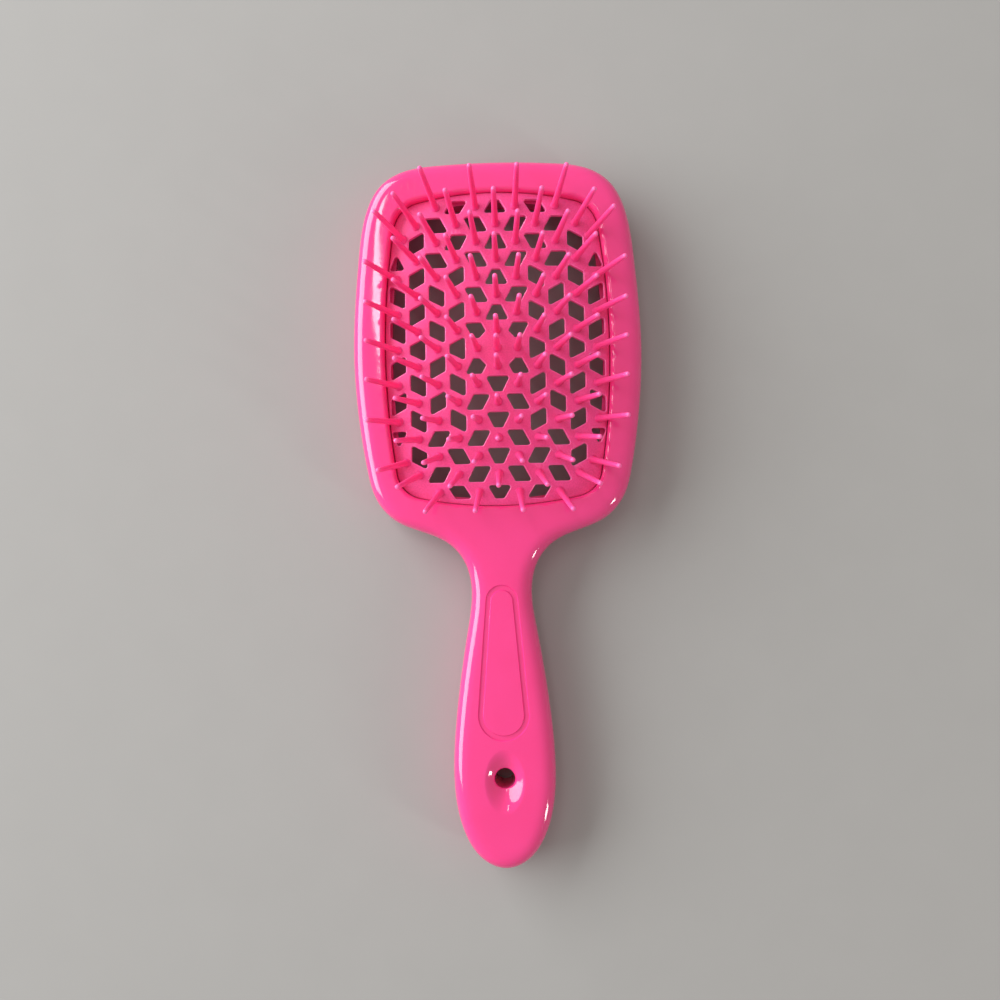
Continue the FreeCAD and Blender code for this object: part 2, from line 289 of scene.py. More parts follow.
@dataclass(frozen=True)
class BowedOutline:
    """The pad's outline: a rectangle with bowed edges and round corners.

    Attributes:
        middle_y: Where its middle is along the brush.
        half_width: Half of its width across the middle.
        half_length: Half of its length along the middle.
        side_r: Radius of the long edges.
        end_r: Radius of the short edges.
        corner_r: Radius of the corners.
    """

    middle_y: float = 47.3 * MM
    half_width: float = 32.5 * MM
    half_length: float = 45.5 * MM
    side_r: float = 224.0 * MM
    end_r: float = 110.0 * MM
    corner_r: float = 8.5 * MM

    def quadrant(self, inset: float) -> list[tuple[float, float]]:
        """Points of the quarter with x and y above zero, from the side's middle to the end's middle."""
        side_x = self.half_width - self.side_r
        end_y = self.half_length - self.end_r
        side_reach = self.side_r - self.corner_r
        end_reach = self.end_r - self.corner_r
        apart = math.hypot(side_x, end_y)
        along = (side_reach ** 2 - end_reach ** 2 + apart ** 2) / (2 * apart)
        off = math.sqrt(side_reach ** 2 - along ** 2)
        unit = (-side_x / apart, end_y / apart)
        corner = (side_x + unit[0] * along - unit[1] * off, unit[1] * along + unit[0] * off)
        side_turn = math.atan2(corner[1], corner[0] - side_x)
        end_turn = math.atan2(corner[1] - end_y, corner[0])
        arcs = (
            ((side_x, 0.0), self.side_r, 0.0, side_turn, 22),
            (corner, self.corner_r, side_turn, end_turn, 10),
            ((0.0, end_y), self.end_r, end_turn, math.pi / 2, 16),
        )
        points = []
        for (x, y), radius, start, end, steps in arcs:
            for i in range(steps):
                turn = start + (end - start) * i / steps
                reach = radius - inset
                points.append((x + reach * math.cos(turn), y + reach * math.sin(turn)))
        points.append((0.0, self.half_length - inset))
        return points

    def ring(self, inset: float, height: Callable[[float, float], float], scale: float = 1.0) -> Ring:
        """The whole outline as a ring.

        Args:
            inset: How far it is moved inwards.
            height: Height of the ring at x and at y from the middle.
            scale: Size about the middle, for rings inside the outline.

        Returns:
            Points in order round the outline.
        """
        quarter = self.quadrant(inset)
        upper = quarter + [(-x, y) for x, y in quarter[-2::-1]]
        lower = [(x, -y) for x, y in upper[-2:0:-1]]
        flat = [(x * scale, y * scale) for x, y in upper + lower]
        return [Vector((x, y + self.middle_y, height(x, y))) for x, y in flat]


@dataclass(frozen=True)
class Crown:
    """The gentle dome of the pad's upper surface.

    Attributes:
        top_z: Height of its highest point.
        across_r: Radius of the dome across the brush.
        along_r: Radius of the dome along the brush.
    """

    top_z: float = 15.2 * MM
    across_r: float = 200.0 * MM
    along_r: float = 700.0 * MM

    def height(self, x: float, y: float) -> float:
        """Height of the surface at x and at y from the pad's middle."""
        ring_r = self.along_r - self.across_r + math.sqrt(self.across_r ** 2 - x ** 2)
        return self.top_z - self.along_r + math.sqrt(ring_r ** 2 - y ** 2)

    def below(self, drop: float) -> Callable[[float, float], float]:
        """Height function of the surface lowered by drop."""
        return lambda x, y: self.height(x, y) - drop


def level(z: float) -> Callable[[float, float], float]:
    """Height function of a flat ring."""
    return lambda x, y: z


@dataclass(frozen=True)
class Lattice:
    """The grid that the pins and the vent holes share.

    Attributes:
        column_pitch: Distance between columns.
        row_pitch: Distance between rows.
        last_column: Columns run from minus this to plus this.
        last_row: Rows run from minus this to plus this.
    """

    column_pitch: float = 5.77 * MM
    row_pitch: float = 5.19 * MM
    last_column: int = 5
    last_row: int = 8

    def sites(self) -> list[tuple[int, int]]:
        """Every (column, row) of the grid."""
        columns = range(-self.last_column, self.last_column + 1)
        rows = range(-self.last_row, self.last_row + 1)
        return [(column, row) for row in rows for column in columns]

    def pin_sites(self) -> list[tuple[int, int]]:
        """Sites with a pin: every other one, and the middle."""
        found = []
        for column, row in self.sites():
            last_column = PIN_COLUMNS.get(abs(row), self.last_column)
            on_grid = (column + row) % 2 == 1 and abs(column) <= last_column
            if on_grid or (column, row) == (0, 0):
                found.append((column, row))
        return found

    def hole_sites(self) -> list[tuple[int, int]]:
        """Sites with a vent hole: the others, apart from the middle and the pad's corners."""
        found = []
        for column, row in self.sites():
            last_column = HOLE_COLUMNS.get(abs(row), self.last_column)
            on_grid = (column + row) % 2 == 0 and abs(column) <= last_column
            if on_grid and (column, row) != (0, 0):
                found.append((column, row))
        return found


# ---------------------------------------------------------------------------------------------
# Finishes
# ---------------------------------------------------------------------------------------------


class Sock:
    """A shader value that Python operators turn into Math nodes."""

    def __init__(self, tree: "NodeTree", socket: bpy.types.NodeSocket) -> None:
        """Wrap an output socket of a node tree."""
        self.tree = tree
        self.socket = socket

    def _maths(self, operation: str, first: "Value", second: "Value") -> "Sock":
        """One Math node."""
        return self.tree.node("ShaderNodeMath", {"operation": operation}, {0: first, 1: second})

    def __add__(self, other: "Value") -> "Sock":
        """Sum."""
        return self._maths("ADD", self, other)

    def __sub__(self, other: "Value") -> "Sock":
        """Difference."""
        return self._maths("SUBTRACT", self, other)

    def __rsub__(self, other: "Value") -> "Sock":
        """Reflected difference."""
        return self._maths("SUBTRACT", other, self)

    def __mul__(self, other: "Value") -> "Sock":
        """Product."""
        return self._maths("MULTIPLY", self, other)

    def between(self, low: float, high: float) -> "Sock":
        """A smooth step from 0 at low to 1 at high."""
        settings = {"interpolation_type": "SMOOTHSTEP"}
        inputs = {"Value": self, "From Min": low, "From Max": high}
        return self.tree.node("ShaderNodeMapRange", settings, inputs)


Value = Sock | float | tuple


class NodeTree:
    """Builds the nodes of one material."""

    def __init__(self, name: str) -> None:
        """Start an empty material with its output and its shader."""
        self.material = bpy.data.materials.new(name)
        self.material.use_nodes = True
        self.nodes = self.material.node_tree.nodes
        self.links = self.material.node_tree.links
        self.nodes.clear()
        self.output = self.nodes.new("ShaderNodeOutputMaterial")
        self.shader = self.nodes.new("ShaderNodeBsdfPrincipled")
        self.links.new(self.shader.outputs[0], self.output.inputs["Surface"])

    def node(self, kind: str, settings: dict, inputs: dict, output: int | str = 0) -> Sock:
        """Add a node.

        Args:
            kind: The node's type.
            settings: Its properties, set before its sockets.
            inputs: Values or links of its sockets, by name or number.
            output: Which output to return.

        Returns:
            The chosen output.
        """
        made = self.nodes.new(kind)
        for key, value in settings.items():
            setattr(made, key, value)
        for key, value in inputs.items():
            self.feed(made.inputs[key], value)
        return Sock(self, made.outputs[output])

    def feed(self, socket: bpy.types.NodeSocket, value: Value) -> None:
        """Link or set one input socket."""
        if isinstance(value, Sock):
            self.links.new(value.socket, socket)
        else:
            socket.default_value = value

    def constants(self, **values: Value) -> None:
        """Set shader sockets that are the same all over; underscores stand for spaces."""
        for key, value in values.items():
            self.shader.inputs[key.replace("_", " ")].default_value = value

    def vary(self, **values: Value) -> None:
        """Feed shader sockets that change over the surface; underscores stand for spaces."""
        for key, value in values.items():
            self.feed(self.shader.inputs[key.replace("_", " ")], value)

    def place(self) -> Sock:
        """Object coordinates."""
        return self.node("ShaderNodeTexCoord", {}, {}, "Object")

    def noise(self, place: Sock, per_metre: float, detail: float = 2.0, roughness: float = 0.5) -> Sock:
        """Noise from about 0 to 1 with a given number of lumps in a metre."""
        sockets = {"Vector": place, "Scale": per_metre, "Detail": detail, "Roughness": roughness}
        return self.node("ShaderNodeTexNoise", {}, sockets, 0)

    def mix(self, factor: Value, first: Value, second: Value) -> Sock:
        """Mix two colours."""
        made = self.nodes.new("ShaderNodeMix")
        made.data_type = "RGBA"
        self.feed(made.inputs[0], factor)
        self.feed(made.inputs[6], first)
        self.feed(made.inputs[7], second)
        return Sock(self, made.outputs[2])

    def bump(self, height: Sock, depth: float, under: Sock | None = None) -> Sock:
        """Bump of a given depth in metres, on top of another one."""
        sockets = {"Height": height, "Distance": depth, "Strength": 1.0}
        if under:
            sockets["Normal"] = under
        return self.node("ShaderNodeBump", {}, sockets, "Normal")


@dataclass(frozen=True)
class GlossyMoulding:
    """Polished hot pink plastic, with faint flow marks, handling haze and a slow waviness.

    Attributes:
        colour: Its usual colour.
        deep: Its colour in the thicker flow marks.
        polish: Roughness where it is clean.
        haze: Extra roughness where it has been handled.
    """

    colour: tuple = (0.86, 0.047, 0.25, 1.0)
    deep: tuple = (0.81, 0.037, 0.21, 1.0)
    polish: float = 0.07
    haze: float = 0.10

    def build(self) -> bpy.types.Material:
        """Make the material."""
        tree = NodeTree("glossy_moulding")
        place = tree.place()
        flow = tree.noise(place, 28.0, 3.0).between(0.42, 0.68)
        smudge = tree.noise(place, 75.0, 4.0, 0.6).between(0.5, 0.78)
        specks = tree.noise(place, 900.0, 1.0).between(0.62, 0.74)
        hairlines = self.hairlines(tree, place)
        waviness = tree.bump(tree.noise(place, 150.0, 2.0), 0.028 * MM)
        peel = tree.bump(tree.noise(place, 1500.0, 1.0), 0.003 * MM, waviness)
        scratched = tree.bump(hairlines, -0.002 * MM, peel)
        tree.vary(
            Base_Color=tree.mix(flow * 0.55, self.colour, self.deep),
            Roughness=smudge * self.haze + specks * 0.06 + hairlines * 0.10 + self.polish,
            Normal=scratched,
        )
        tree.constants(IOR=1.52, Subsurface_Weight=0.10, Subsurface_Radius=(0.004, 0.0012, 0.0016),
                       Subsurface_Scale=1.0, Coat_Weight=0.4, Coat_Roughness=0.035)
        return tree.material

    def hairlines(self, tree: NodeTree, place: Sock) -> Sock:
        """Very fine scratches from handling, in two directions."""
        lines = []
        for turn in (0.5, -0.9):
            sockets = {"Vector": place, "Rotation": (0.0, 0.0, turn), "Scale": (2600.0, 45.0, 45.0)}
            stretched = tree.node("ShaderNodeMapping", {}, sockets)
            streak = tree.node("ShaderNodeTexNoise", {}, {"Vector": stretched, "Scale": 1.0, "Detail": 1.0})
            lines.append(streak.between(0.72, 0.76))
        return lines[0] + lines[1]


@dataclass(frozen=True)
class SatinMoulding:
    """Spark-textured satin plastic of the pad, a little deeper in the dips of its texture, with a painted
    highlight on the hole lips.

    Attributes:
        colour: Its usual colour.
        deep: Its colour in the dips of the texture.
        pale: A painted highlight: its colour on the polished lips of the holes, for light caught by their
            rounded edges.
        sheen: Roughness of the texture's tops.
        lip: Name of the attribute that is 1 on the lips.
    """

    colour: tuple = (0.95, 0.075, 0.34, 1.0)
    deep: tuple = (0.80, 0.040, 0.22, 1.0)
    # Painted highlight: pale colour on the hole lips, for light caught by their rounded edges
    pale: tuple = (1.0, 0.20, 0.50, 1.0)
    sheen: float = 0.30
    lip: str = "lip"

    def build(self) -> bpy.types.Material:
        """Make the material."""
        tree = NodeTree("satin_moulding")
        place = tree.place()
        grain = tree.noise(place, 2300.0, 2.0, 0.6)
        coarse = tree.noise(place, 850.0, 2.0)
        drift = tree.noise(place, 45.0, 2.0).between(0.35, 0.7)
        tint = tree.mix(grain.between(0.60, 0.40) * 0.55, self.colour, self.deep)
        lip = tree.node("ShaderNodeAttribute", {"attribute_name": self.lip}, {}, "Fac")
        texture = tree.bump((grain * 0.6 + coarse * 0.4) * (1.0 - lip), 0.085 * MM)
        tree.vary(
            # The lips are mixed towards the pale colour: a painted highlight
            Base_Color=tree.mix(lip * 0.6, tree.mix(drift * 0.25, tint, self.deep), self.pale),
            Roughness=(grain * 0.22 + drift * 0.06) * (1.0 - lip) + self.sheen - lip * 0.10,
            Normal=texture,
        )
        tree.constants(IOR=1.50, Subsurface_Weight=0.18, Subsurface_Radius=(0.004, 0.0011, 0.0016),
                       Subsurface_Scale=1.0)
        return tree.material


@dataclass(frozen=True)
class PinMoulding:
    """Smooth flexible plastic of the pins, paler and clearer towards their thin tips, and paler still on the
    round tips as a painted highlight.

    Attributes:
        colour: Its colour at the root.
        pale: Its colour at the tip, partly the paler thin plastic and partly a painted highlight on the round
            tip.
        reach: Name of the attribute that runs from 0 at the root to 1 at the tip.
    """

    colour: tuple = (0.92, 0.062, 0.28, 1.0)
    # Partly a painted highlight on the round tips, partly the paler thin plastic
    pale: tuple = (0.97, 0.13, 0.38, 1.0)
    reach: str = "reach"

    def build(self) -> bpy.types.Material:
        """Make the material."""
        tree = NodeTree("pin_moulding")
        place = tree.place()
        reach = tree.node("ShaderNodeAttribute", {"attribute_name": self.reach}, {}, "Fac")
        scuff = tree.noise(place, 1400.0, 2.0)
        # Painted highlight: the round tips are mixed well towards the pale colour, on top of the slight
        # paling along the whole pin
        tip = reach.between(0.86, 1.0)
        tree.vary(
            Base_Color=tree.mix(tip * 0.85 + reach * 0.12, self.colour, self.pale),
            Roughness=scuff * 0.16 + 0.34,
            Normal=tree.bump(scuff, 0.012 * MM),
        )
        tree.constants(IOR=1.50, Subsurface_Weight=0.35, Subsurface_Radius=(0.004, 0.0012, 0.0018),
                       Subsurface_Scale=1.0)
        return tree.material


class Finish(Enum):
    """The brush's finishes, one for each piece."""

    FRAME = "frame_gloss"
    PAD = "pad_satin"
    PIN = "pin_satin"

    def build(self) -> bpy.types.Material:
        """Make this finish's material."""
        makers = {Finish.FRAME: GlossyMoulding, Finish.PAD: SatinMoulding, Finish.PIN: PinMoulding}
        return makers[self]().build()


def dress(piece: bpy.types.Object, finish: Finish, stands_for: str) -> None:
    """Give a piece its finish and its place in the frame.

    Args:
        piece: The finished mesh, with its origin at the frame's origin.
        finish: What it is made of.
        stands_for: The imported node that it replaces.
    """
    piece.data.materials.clear()
    piece.data.materials.append(finish.build())
    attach(piece, ROOT_BODY)
    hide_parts(stands_for)
    log.info("%s: %d faces", piece.name, len(piece.data.polygons))


# ---------------------------------------------------------------------------------------------
# The frame and handle
# ---------------------------------------------------------------------------------------------

OUTLINE = (
    (0.0, 102.5), (16.0, 102.0), (29.4, 99.3), (34.1, 95.7), (38.0, 88.3), (40.5, 73.7),
    (42.1, 46.0), (40.8, 26.6), (38.6, 12.3), (36.6, 5.1), (30.9, -2.0), (22.2, -5.8),
    (14.9, -9.4), (10.9, -14.2), (8.9, -21.8), (10.1, -33.8), (12.4, -47.9), (14.1, -61.8),
    (14.8, -75.7), (13.7, -86.5), (11.7, -92.9), (7.2, -99.5), (0.0, -102.5),
)


@dataclass
class FrameMoulding:
    """The glossy ring, neck and handle, moulded in one piece.

    Attributes:
        outline: Right-hand half of the widest line, in millimetres, head to tail.
        pad: Outline of the pad that the window holds.
        face_z: Height of the front face.
        waist_z: Height of the widest line.
        face_inset: Where the side wall has rolled over into the face.
        back_inset: The same at the back.
        fullness: Exponent of the wall's rounding.
        ledge_z: Height of the ledge that the pad's skirt stands on.
        skirt_width: Width of that ledge.
        seam_gap: Gap between the window and the pad.
        rim_inner_r: Rounding of the window's front edge.
        window_back_r: Rounding of the window's rear edge.
        arch_y: Where the arch under the neck is highest.
        arch_half_span: How far the arch reaches each way along the brush.
        arch_rise: Height of the arch.
        loop_top: Middle along the brush and radius of the engraved loop's upper end.
        loop_bottom: The same for its lower end.
        loop_band: Width of the engraved band.
        loop_depth: Depth of the engraved band.
        hang_hole_y: Where the hang hole is along the brush.
        hang_hole_r: Radius of the hang hole.
        hang_lip_r: Rounding of its rear lip.
        dish_y: Middle of the oval bowl along the brush.
        dish_half_size: Half width, half length and depth of the bowl.
        dish_fullness: Exponent of the bowl's profile.
    """

    outline: tuple = OUTLINE
    pad: BowedOutline = BowedOutline()
    face_z: float = 15.5 * MM
    waist_z: float = 8.0 * MM
    face_inset: float = 6.0 * MM
    back_inset: float = 6.0 * MM
    fullness: float = 0.64
    ledge_z: float = 8.0 * MM
    skirt_width: float = 1.0 * MM
    seam_gap: float = 0.12 * MM
    rim_inner_r: float = 1.3 * MM
    window_back_r: float = 1.5 * MM
    arch_y: float = -22.0 * MM
    arch_half_span: float = 27.0 * MM
    arch_rise: float = 2.4 * MM
    loop_top: tuple = (-25.6 * MM, 4.6 * MM)
    loop_bottom: tuple = (-58.0 * MM, 7.3 * MM)
    loop_band: float = 1.5 * MM
    loop_depth: float = 0.35 * MM
    hang_hole_y: float = -76.4 * MM
    hang_hole_r: float = 2.9 * MM
    hang_lip_r: float = 0.6 * MM
    dish_y: float = -76.9 * MM
    dish_half_size: tuple = (5.9 * MM, 9.3 * MM, 3.3 * MM)
    dish_fullness: float = 0.85

    def build(self) -> bpy.types.Object:
        """Model the moulding.

        Returns:
            The finished piece.
        """
        body = shell_from_rings("frame_moulding", self.wall_rings(), Ends.STRIPS)
        self.lift_neck(body)
        for cutter in (self.window_cutter(), self.loop_cutter(), self.dish_cutter(), self.hang_hole_cutter()):
            cut(body, cutter)
        smooth(body, FRAME_CREASE)
        return body

    def wall_rings(self) -> list[Ring]:
        """Rings of the rounded side wall, from the flat back to the flat face."""
        points, inwards = smooth_line([(x * MM, y * MM) for x, y in self.outline], OUTLINE_STEPS)
        rings = []
        for angle in WALL_ANGLES:
            inset, z = self.wall_point(angle)
            right = points + inwards * inset
            ring = [Vector((x, y, z)) for x, y in right]
            ring += [Vector((-x, y, z)) for x, y in right[-2:0:-1]]
            rings.append(ring)
        return rings

    def wall_point(self, angle: float) -> tuple[float, float]:
        """Inset and height of the wall, from -90 degrees at the back to 90 at the face."""
        upper = angle >= 0
        inset = self.face_inset if upper else self.back_inset
        height = self.face_z - self.waist_z if upper else -self.waist_z
        turn = math.radians(abs(angle))
        reach = 0.0 if abs(angle) == 90 else math.cos(turn) ** self.fullness
        return inset * (1 - reach), self.waist_z + height * math.sin(turn) ** self.fullness

    def lift_neck(self, body: bpy.types.Object) -> None:
        """Arch the back under the neck, most at the back face and not at all at the widest line."""
        for vertex in body.data.vertices:
            off = abs(vertex.co.y - self.arch_y)
            if off < self.arch_half_span and vertex.co.z < self.waist_z:
                lift = self.arch_rise * (0.5 + 0.5 * math.cos(math.pi * off / self.arch_half_span))
                vertex.co.z += lift * (1 - vertex.co.z / self.waist_z)

    def window_cutter(self) -> bpy.types.Object:
        """Block that cuts the pad's window, its ledge and its two rounded edges."""
        rings = [self.pad.ring(self.skirt_width - self.window_back_r, level(-2 * MM))]
        for forward, up in quarter_arc(6)[::-1]:
            inset = self.skirt_width - self.window_back_r * forward
            rings.append(self.pad.ring(inset, level(self.window_back_r * (1 - up) - OVERCUT)))
        rings.append(self.pad.ring(self.skirt_width, level(self.ledge_z)))
        rings.append(self.pad.ring(-self.seam_gap, level(self.ledge_z)))
        for forward, up in quarter_arc(8):
            inset = -self.seam_gap - self.rim_inner_r * forward
            z = self.face_z - self.rim_inner_r * (1 - up) + 0.005 * MM
            rings.append(self.pad.ring(inset, level(z)))
        rings.append(self.pad.ring(-self.seam_gap - self.rim_inner_r, level(self.face_z + 3 * MM)))
        return shell_from_rings("window_cutter", rings)

    def loop_ring(self, inset: float, z: float) -> Ring:
        """One line of the engraved loop: the hull of two discs, moved inwards and set at a height."""
        top_y, top_r = self.loop_top[0], self.loop_top[1] - inset
        bottom_y, bottom_r = self.loop_bottom[0], self.loop_bottom[1] - inset
        lean = math.asin((bottom_r - top_r) / (top_y - bottom_y))
        ring = []
        for i in range(33):
            turn = lean + (math.pi - 2 * lean) * i / 32
            ring.append(Vector((top_r * math.cos(turn), top_y + top_r * math.sin(turn), z)))
        for i in range(41):
            turn = math.pi - lean + (math.pi + 2 * lean) * i / 40
            ring.append(Vector((bottom_r * math.cos(turn), bottom_y + bottom_r * math.sin(turn), z)))
        return ring

    def loop_cutter(self) -> bpy.types.Object:
        """Band that engraves the handle's loop, with slightly sloping walls."""
        slope = 0.17 * MM
        above = self.face_z + 0.3 * MM
        floor = self.face_z - self.loop_depth
        rings = [
            self.loop_ring(-slope * 2, above),
            self.loop_ring(slope, floor),
            self.loop_ring(self.loop_band - slope, floor),
            self.loop_ring(self.loop_band + slope * 2, above),
        ]
        return shell_from_rings("loop_cutter", rings, Ends.JOINED)

    def dish_depth(self, x: float, y: float) -> float:
        """Depth of the oval bowl round the hang hole at x and at y along the brush."""
        across, along, deep = self.dish_half_size
        share = min(1.0, math.hypot(x / across, (y - self.dish_y) / along))
        return deep * (0.5 + 0.5 * math.cos(math.pi * share)) ** self.dish_fullness

    def dish_cutter(self) -> bpy.types.Object:
        """Oval bowl round the hang hole, which blends softly into the face."""
        across, along, _ = self.dish_half_size
        rings = []
        for share in [0.04] + [0.08 * i for i in range(1, 13)]:
            depth = self.dish_depth(0.0, self.dish_y + along * share)
            rings.append(self.oval(across * share, along * share, self.dish_y, self.face_z - depth, 96))
        rings.append(self.oval(across, along, self.dish_y, self.face_z + 0.004 * MM, 96))
        rings.append(self.oval(across, along, self.dish_y, self.face_z + 2 * MM, 96))
        return shell_from_rings("dish_cutter", rings)

    def hang_hole_cutter(self) -> bpy.types.Object:
        """Round hole through the handle, with rounded lips at the back and in the bowl."""
        lip = self.hang_lip_r
        rings = [self.oval(self.hang_hole_r + lip, self.hang_hole_r + lip, self.hang_hole_y, -2 * MM, 72)]
        for forward, up in quarter_arc(5)[::-1]:
            r = self.hang_hole_r + lip * forward
            rings.append(self.oval(r, r, self.hang_hole_y, lip * (1 - up) - OVERCUT, 72))
        soft = 0.4 * MM
        for forward, up in quarter_arc(5):
            r = self.hang_hole_r + soft * forward
            ring = self.oval(r, r, self.hang_hole_y, 0.0, 72)
            for point in ring:
                point.z = self.face_z - self.dish_depth(point.x, point.y) - soft * (1 - up) + OVERCUT
            rings.append(ring)
        r = self.hang_hole_r + soft
        rings.append(self.oval(r, r, self.hang_hole_y, self.face_z + 3 * MM, 72))
        return shell_from_rings("hang_hole_cutter", rings)

    @staticmethod
    def oval(across: float, along: float, middle_y: float, z: float, count: int) -> Ring:
        """A level oval ring."""
        turns = [2 * math.pi * i / count for i in range(count)]
        return [Vector((across * math.cos(t), middle_y + along * math.sin(t), z)) for t in turns]


# ---------------------------------------------------------------------------------------------
# The vented pad
# ---------------------------------------------------------------------------------------------


class HoleShape(Enum):
    """The outlines of the vent holes."""

    RHOMB = "rhomb"
    TRAPEZOID = "trapezoid"
    TRIANGLE = "triangle"


@dataclass
class VentedPad:
    """The satin pad: a crowned plate with a skirt, cut by a lattice of rounded holes.

    Attributes:
        outline: Its outline.
        crown: Its dome.
        lattice: Where its holes are.
        thickness: Thickness of the plate.
        skirt_width: Thickness of the skirt under its border.
        ledge_z: Height of the frame's ledge that the skirt stands on.
        edge_r: Rounding of its upper edge.
        hub_r: Radius of the solid disc round the middle pin.
        corner_r: Rounding of the holes' corners.
        lip: How far the hole's rounded lip spreads over the face.
        rhomb_edge: Length of a rhomb's two parallel edges.
        rhomb_width: Distance between them.
        rhomb_shift: How far one is slid along the other.
        trapezoid_long: Longer of a trapezoid's parallel edges.
        trapezoid_short: Shorter of them.
        trapezoid_height: Distance between them.
        triangle_base: Base of a triangle.
        triangle_height: Height of a triangle.
        triangle_tip_x: How far its tip is off the middle of its base.
        end_row_scale: Length of the holes beside the short edges, as a share of the others'.
    """

    outline: BowedOutline = BowedOutline()
    crown: Crown = Crown()
    lattice: Lattice = Lattice()
    thickness: float = 2.0 * MM
    skirt_width: float = 1.0 * MM
    ledge_z: float = 8.0 * MM
    edge_r: float = 0.3 * MM
    hub_r: float = 5.9 * MM
    corner_r: float = 0.62 * MM
    lip: float = 0.38 * MM
    rhomb_edge: float = 4.8 * MM
    rhomb_width: float = 4.5 * MM
    rhomb_shift: float = 2.4 * MM
    trapezoid_long: float = 7.0 * MM
    trapezoid_short: float = 2.5 * MM
    trapezoid_height: float = 4.5 * MM
    triangle_base: float = 4.8 * MM
    triangle_height: float = 4.8 * MM
    triangle_tip_x: float = 0.2 * MM
    end_row_scale: float = 0.85

    def build(self) -> bpy.types.Object:
        """Model the pad.

        Returns:
            The finished piece.
        """
        pad = shell_from_rings("vented_pad", self.plate_rings())
        cutters = [self.hole_cutter(column, row) for column, row in self.lattice.hole_sites()]
        cut(pad, join("hole_cutters", cutters))
        self.mark_lips(pad)
        smooth(pad, PAD_CREASE)
        return pad

    def mark_lips(self, pad: bpy.types.Object) -> None:
        """Store where the polished lips are, from 0 on the texture to 1 down in a hole; the pad's material
        paints a highlight there.

        Args:
            pad: The cut pad.
        """
        lips = pad.data.attributes.new("lip", "FLOAT", "POINT")
        for vertex in pad.data.vertices:
            depth = self.crown.height(vertex.co.x, vertex.co.y - self.outline.middle_y) - vertex.co.z
            lips.data[vertex.index].value = float(0.005 * MM < depth < 1.2 * self.lip)

    def plate_rings(self) -> list[Ring]:
        """Rings from the middle of the top, over the edge, round the skirt to the middle of the underside."""
        shares = [0.02] + [0.08 * i for i in range(1, 12)] + [0.93, 0.965]
        rings = [self.outline.ring(self.edge_r, self.crown.below(0.0), share) for share in shares]
        for forward, up in quarter_arc(4)[::-1]:
            inset = self.edge_r * forward
            rings.append(self.outline.ring(inset, self.crown.below(self.edge_r * (1 - up))))
        rings.append(self.outline.ring(0.0, level(self.ledge_z + 0.02 * MM)))
        rings.append(self.outline.ring(self.skirt_width, level(self.ledge_z + 0.02 * MM)))
        under = self.crown.below(self.thickness)
        rings += [self.outline.ring(self.skirt_width, under, share) for share in shares[::-1]]
        return rings

    def hole_corners(self, column: int, row: int) -> list[tuple[float, float]]:
        """Corners of the hole at a site, about the site, for column and row of 0 or more."""
        shape = self.hole_shape(column, row)
        if shape is HoleShape.TRIANGLE:
            half, tall = self.triangle_base / 2, self.triangle_height / 2
            return [(-half, -tall), (half, -tall), (self.triangle_tip_x, tall)]
        if shape is HoleShape.TRAPEZOID:
            long, short, half = self.trapezoid_long / 2, self.trapezoid_short / 2, self.trapezoid_height / 2
            corners = [(-long, -half), (long, -half), (short, half), (-short, half)]
            return [(y, x) for x, y in corners] if row == 0 else corners
        edge, half = self.rhomb_edge / 2, self.rhomb_width / 2
        shift = self.rhomb_shift / 2 * (1 if column % 2 else -1)
        corners = [(-edge + shift, half), (edge + shift, half), (edge - shift, -half), (-edge - shift, -half)]
        upright = column >= min(UPRIGHT_ROWS) and row <= UPRIGHT_ROWS[column]
        return [(y, x) for x, y in corners] if upright else corners

    @staticmethod
    def hole_shape(column: int, row: int) -> HoleShape:
        """Which outline a site's hole has."""
        if column == 0 or row == 0:
            return HoleShape.TRAPEZOID
        return HoleShape.TRIANGLE if (column, row) == TRIANGLE_SITE else HoleShape.RHOMB

    def hole_cutter(self, column: int, row: int) -> bpy.types.Object:
        """Cutter for one vent hole, which follows the crown and flares into a rounded lip."""
        scale = self.end_row_scale if abs(row) == self.lattice.last_row else 1.0
        flip_x = -1 if column < 0 else 1
        flip_y = -1 if row < 0 else 1
        middle = (column * self.lattice.column_pitch, row * self.lattice.row_pitch)
        corners = [
            (middle[0] + flip_x * x, middle[1] + flip_y * y * scale)
            for x, y in self.hole_corners(abs(column), abs(row))
        ]
        corners = self.clear_of_hub(counter_clockwise(corners))
        lip = self.lip
        levels = (
            (lip, -self.thickness - 1.0 * MM), (lip, -self.thickness), (0.0, -self.thickness + lip),
            (0.0, -lip), (0.1 * lip, -0.55 * lip), (0.35 * lip, -0.2 * lip), (0.75 * lip, -0.02 * lip),
            (lip, 0.02 * lip), (lip, 1.0 * MM),
        )
        rings = []
        for spread, rise in levels:
            flat = rounded_polygon(corners, spread, self.corner_r + spread, 4)
            middle_y = self.outline.middle_y
            rings.append([Vector((x, y + middle_y, self.crown.height(x, y) + rise)) for x, y in flat])
        return shell_from_rings("hole_cutter", rings)

    def clear_of_hub(self, corners: list[tuple[float, float]]) -> list[tuple[float, float]]:
        """Cut off the corner that would run into the solid disc round the middle pin."""
        kept = []
        for i, corner in enumerate(corners):
            if math.hypot(*corner) >= self.hub_r:
                kept.append(corner)
                continue
            for other in (corners[i - 1], corners[(i + 1) % len(corners)]):
                kept.append(self.where_it_leaves_hub(corner, other))
        return kept

    def where_it_leaves_hub(
        self, inner: tuple[float, float], outer: tuple[float, float]
    ) -> tuple[float, float]:
        """The point between two corners that lies on the hub's edge."""
        low, high = 0.0, 1.0
        for _ in range(30):
            share = (low + high) / 2
            point = tuple(a + (b - a) * share for a, b in zip(inner, outer))
            low, high = (share, high) if math.hypot(*point) < self.hub_r else (low, share)
        return point


def counter_clockwise(corners: list[tuple[float, float]]) -> list[tuple[float, float]]:
    """The corners in counter-clockwise order."""
    area = sum(a[0] * b[1] - b[0] * a[1] for a, b in zip(corners, corners[1:] + corners[:1]))
    return corners if area > 0 else corners[::-1]


